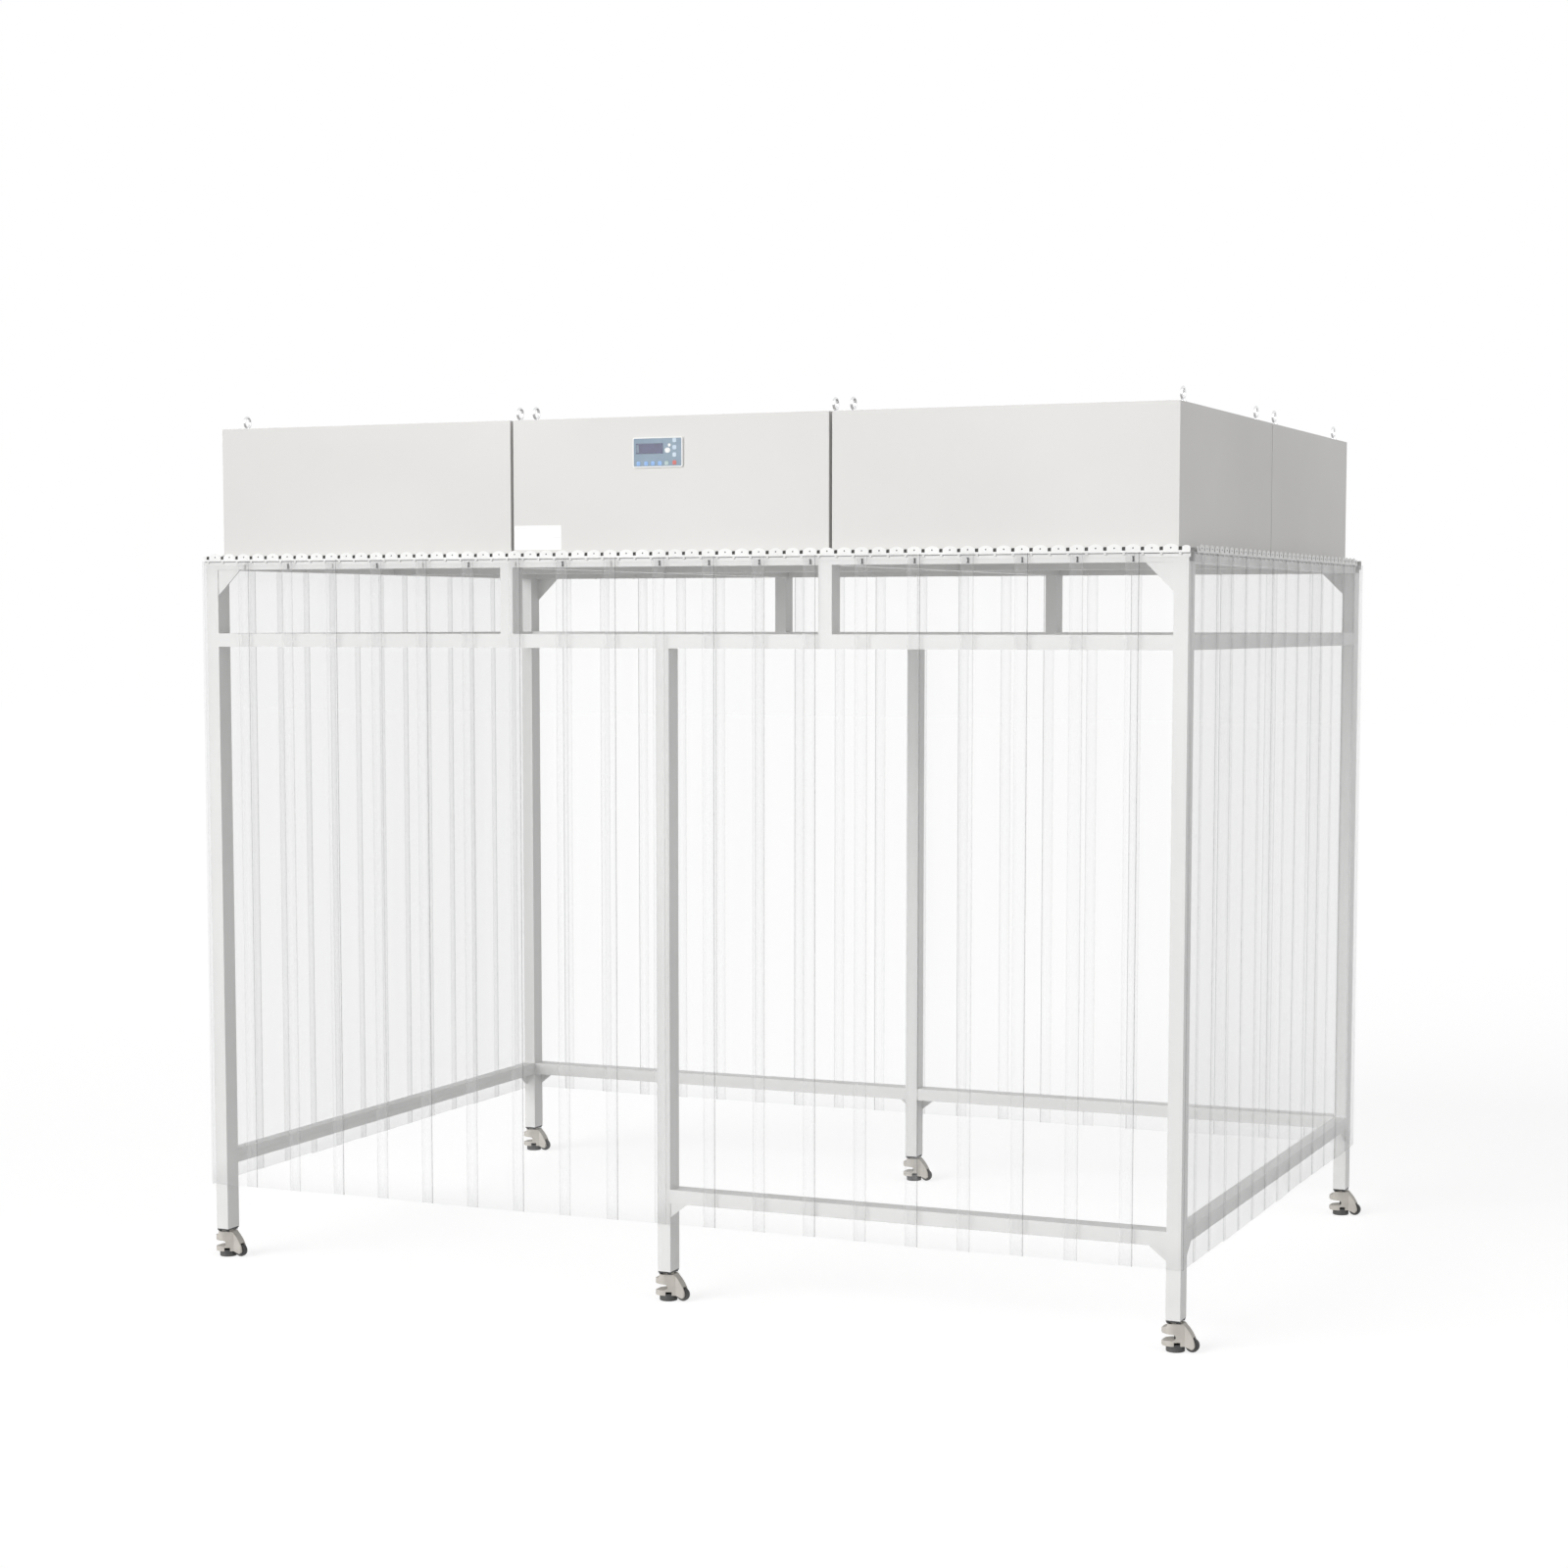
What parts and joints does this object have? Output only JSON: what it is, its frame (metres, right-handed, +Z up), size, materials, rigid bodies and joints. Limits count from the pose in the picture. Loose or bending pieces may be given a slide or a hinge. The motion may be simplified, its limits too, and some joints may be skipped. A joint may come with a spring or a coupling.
{
  "type": "clean booth",
  "caption": "Free-standing clean booth: white tube frame on levelling casters, a ceiling of fan filter units and clear strip curtains all round.",
  "frame": {"origin": "on the floor, at the centre of the overall footprint, casters and curtains included", "axes": "+X to the right along the long side, +Y to the back, +Z up; the doorway and the control panel face -Y"},
  "size_m": [3.8586, 2.5778, 3.1869],
  "materials": {
    "frame_white": "smooth white powder coat",
    "casing_grey": "satin warm light grey powder coat",
    "hook_white": "smooth white paint",
    "clear_film": "clear flexible vinyl, slightly grey",
    "cast_body": "satin beige-grey casting",
    "wheel_black": "matte black",
    "foot_black": "matte black",
    "black_steel": "black",
    "impeller_aluminium": "plain sheet",
    "motor_grey": "dark grey",
    "filter_white": "white pleated media in a frame",
    "bright_plate": "bright zinc or chrome plate",
    "panel_blue": "slate blue membrane"
  },
  "bodies": {
    "booth": {"back_bottom_rails": "frame_white", "back_curtain": "clear_film", "back_left_post": "frame_white", "back_left_unit_casing": "casing_grey", "back_mid_rail": "frame_white", "back_middle_post": "frame_white", "back_middle_unit_casing": "casing_grey", "back_right_post": "frame_white", "back_right_unit_casing": "casing_grey", "caster_top_plates": "black_steel", "ceiling_beams": "frame_white", "control_panel": "panel_blue", "fan_motors": "motor_grey", "final_filters": "filter_white", "front_and_back_hook_rails": "hook_white", "front_and_back_top_beams": "frame_white", "front_bottom_rail": "frame_white", "front_curtain": "clear_film", "front_left_post": "frame_white", "front_left_unit_casing": "casing_grey", "front_mid_rail": "frame_white", "front_middle_post": "frame_white", "front_middle_unit_casing": "casing_grey", "front_right_post": "frame_white", "front_right_unit_casing": "casing_grey", "header_studs": "frame_white", "inlet_covers": "casing_grey", "left_curtain": "clear_film", "lifting_eye_bolts": "bright_plate", "lower_gussets": "frame_white", "right_curtain": "clear_film", "side_bottom_rails": "frame_white", "side_hook_rails": "hook_white", "side_mid_rails": "frame_white", "side_top_beams": "frame_white", "upper_gussets": "frame_white"},
    "back_left_caster_body": {"back_left_caster_body": "cast_body"},
    "back_left_caster_foot": {"back_left_caster_foot": "foot_black"},
    "back_left_caster_wheel": {"back_left_caster_wheel": "wheel_black"},
    "back_left_fan_impeller": {"back_left_fan_impeller": "impeller_aluminium"},
    "back_middle_caster_body": {"back_middle_caster_body": "cast_body"},
    "back_middle_caster_foot": {"back_middle_caster_foot": "foot_black"},
    "back_middle_caster_wheel": {"back_middle_caster_wheel": "wheel_black"},
    "back_middle_fan_impeller": {"back_middle_fan_impeller": "impeller_aluminium"},
    "back_right_caster_body": {"back_right_caster_body": "cast_body"},
    "back_right_caster_foot": {"back_right_caster_foot": "foot_black"},
    "back_right_caster_wheel": {"back_right_caster_wheel": "wheel_black"},
    "back_right_fan_impeller": {"back_right_fan_impeller": "impeller_aluminium"},
    "front_left_caster_body": {"front_left_caster_body": "cast_body"},
    "front_left_caster_foot": {"front_left_caster_foot": "foot_black"},
    "front_left_caster_wheel": {"front_left_caster_wheel": "wheel_black"},
    "front_left_fan_impeller": {"front_left_fan_impeller": "impeller_aluminium"},
    "front_middle_caster_body": {"front_middle_caster_body": "cast_body"},
    "front_middle_caster_foot": {"front_middle_caster_foot": "foot_black"},
    "front_middle_caster_wheel": {"front_middle_caster_wheel": "wheel_black"},
    "front_middle_fan_impeller": {"front_middle_fan_impeller": "impeller_aluminium"},
    "front_right_caster_body": {"front_right_caster_body": "cast_body"},
    "front_right_caster_foot": {"front_right_caster_foot": "foot_black"},
    "front_right_caster_wheel": {"front_right_caster_wheel": "wheel_black"},
    "front_right_fan_impeller": {"front_right_fan_impeller": "impeller_aluminium"}
  },
  "joints": [
    {"name": "front_left_caster_swivel", "type": "hinge", "parent": "booth", "child": "front_left_caster_body", "pos_m": [-1.88225, -1.2365, 0.099], "axis": [0, 0, 1], "continuous": true},
    {"name": "front_left_caster_wheel_spin", "type": "hinge", "parent": "front_left_caster_body", "child": "front_left_caster_wheel", "pos_m": [-1.82425, -1.2365, 0.025], "axis": [0, 1, 0], "continuous": true},
    {"name": "front_left_caster_foot_screw", "type": "slide", "parent": "front_left_caster_body", "child": "front_left_caster_foot", "axis": [0, 0, 1], "range_m": [-0.006, 0.006]},
    {"name": "front_middle_caster_swivel", "type": "hinge", "parent": "booth", "child": "front_middle_caster_body", "pos_m": [-0.01725, -1.2365, 0.099], "axis": [0, 0, 1], "continuous": true},
    {"name": "front_middle_caster_wheel_spin", "type": "hinge", "parent": "front_middle_caster_body", "child": "front_middle_caster_wheel", "pos_m": [0.04075, -1.2365, 0.025], "axis": [0, 1, 0], "continuous": true},
    {"name": "front_middle_caster_foot_screw", "type": "slide", "parent": "front_middle_caster_body", "child": "front_middle_caster_foot", "axis": [0, 0, 1], "range_m": [-0.006, 0.006]},
    {"name": "front_right_caster_swivel", "type": "hinge", "parent": "booth", "child": "front_right_caster_body", "pos_m": [1.84775, -1.2365, 0.099], "axis": [0, 0, 1], "continuous": true},
    {"name": "front_right_caster_wheel_spin", "type": "hinge", "parent": "front_right_caster_body", "child": "front_right_caster_wheel", "pos_m": [1.90575, -1.2365, 0.025], "axis": [0, 1, 0], "continuous": true},
    {"name": "front_right_caster_foot_screw", "type": "slide", "parent": "front_right_caster_body", "child": "front_right_caster_foot", "axis": [0, 0, 1], "range_m": [-0.006, 0.006]},
    {"name": "back_left_caster_swivel", "type": "hinge", "parent": "booth", "child": "back_left_caster_body", "pos_m": [-1.88225, 1.2365, 0.099], "axis": [0, 0, 1], "continuous": true},
    {"name": "back_left_caster_wheel_spin", "type": "hinge", "parent": "back_left_caster_body", "child": "back_left_caster_wheel", "pos_m": [-1.82425, 1.2365, 0.025], "axis": [0, 1, 0], "continuous": true},
    {"name": "back_left_caster_foot_screw", "type": "slide", "parent": "back_left_caster_body", "child": "back_left_caster_foot", "axis": [0, 0, 1], "range_m": [-0.006, 0.006]},
    {"name": "back_middle_caster_swivel", "type": "hinge", "parent": "booth", "child": "back_middle_caster_body", "pos_m": [-0.01725, 1.2365, 0.099], "axis": [0, 0, 1], "continuous": true},
    {"name": "back_middle_caster_wheel_spin", "type": "hinge", "parent": "back_middle_caster_body", "child": "back_middle_caster_wheel", "pos_m": [0.04075, 1.2365, 0.025], "axis": [0, 1, 0], "continuous": true},
    {"name": "back_middle_caster_foot_screw", "type": "slide", "parent": "back_middle_caster_body", "child": "back_middle_caster_foot", "axis": [0, 0, 1], "range_m": [-0.006, 0.006]},
    {"name": "back_right_caster_swivel", "type": "hinge", "parent": "booth", "child": "back_right_caster_body", "pos_m": [1.84775, 1.2365, 0.099], "axis": [0, 0, 1], "continuous": true},
    {"name": "back_right_caster_wheel_spin", "type": "hinge", "parent": "back_right_caster_body", "child": "back_right_caster_wheel", "pos_m": [1.90575, 1.2365, 0.025], "axis": [0, 1, 0], "continuous": true},
    {"name": "back_right_caster_foot_screw", "type": "slide", "parent": "back_right_caster_body", "child": "back_right_caster_foot", "axis": [0, 0, 1], "range_m": [-0.006, 0.006]},
    {"name": "front_left_fan_spin", "type": "hinge", "parent": "booth", "child": "front_left_fan_impeller", "pos_m": [-1.24925, -0.616, 2.808], "axis": [0, 0, 1], "continuous": true},
    {"name": "front_middle_fan_spin", "type": "hinge", "parent": "booth", "child": "front_middle_fan_impeller", "pos_m": [-0.01725, -0.616, 2.808], "axis": [0, 0, 1], "continuous": true},
    {"name": "front_right_fan_spin", "type": "hinge", "parent": "booth", "child": "front_right_fan_impeller", "pos_m": [1.21475, -0.616, 2.808], "axis": [0, 0, 1], "continuous": true},
    {"name": "back_left_fan_spin", "type": "hinge", "parent": "booth", "child": "back_left_fan_impeller", "pos_m": [-1.24925, 0.616, 2.808], "axis": [0, 0, 1], "continuous": true},
    {"name": "back_middle_fan_spin", "type": "hinge", "parent": "booth", "child": "back_middle_fan_impeller", "pos_m": [-0.01725, 0.616, 2.808], "axis": [0, 0, 1], "continuous": true},
    {"name": "back_right_fan_spin", "type": "hinge", "parent": "booth", "child": "back_right_fan_impeller", "pos_m": [1.21475, 0.616, 2.808], "axis": [0, 0, 1], "continuous": true}
  ]
}
